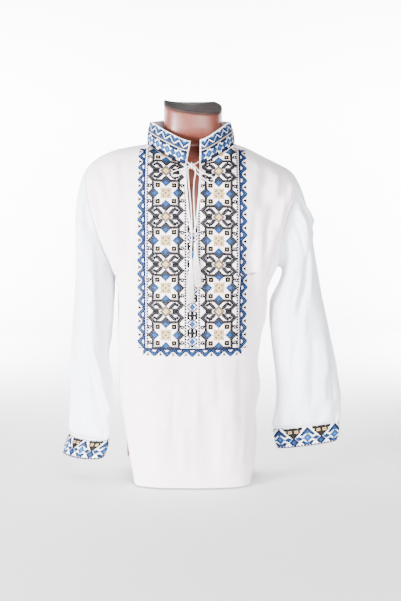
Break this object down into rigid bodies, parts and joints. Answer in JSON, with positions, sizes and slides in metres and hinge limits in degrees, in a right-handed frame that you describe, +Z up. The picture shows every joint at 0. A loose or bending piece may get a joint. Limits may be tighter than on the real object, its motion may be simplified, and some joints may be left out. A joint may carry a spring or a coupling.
{
  "type": "folk shirt on torso form",
  "caption": "Long-sleeved linen folk shirt with stand collar, embroidered bib, cuffs and tasselled tie cords, worn by a limbless torso form with a cut neck",
  "frame": {"origin": "middle of the torso form's foot, on the surface it stands on", "axes": "+X towards the wearer's left, -Y towards the front, +Z up"},
  "size_m": [0.638, 0.241, 0.849],
  "materials": {
    "linen": "plain weave linen",
    "band": "linen covered with cross stitch",
    "cord": "twisted cotton",
    "form": "glossy moulded plastic",
    "cap": "satin"
  },
  "bodies": {
    "root": {"torso_form": "form", "neck_cap": "cap", "front_panel": "linen", "back_panel": "linen", "sleeve_right": "linen", "sleeve_left": "linen", "cuff_right": "band", "cuff_left": "band", "collar": "band", "slit_binding_right": "linen", "slit_binding_left": "linen", "tie_cord_right": "cord", "tie_cord_left": "cord", "tassel_right": "cord", "tassel_left": "cord", "tie_knot": "cord"}
  },
  "joints": []
}
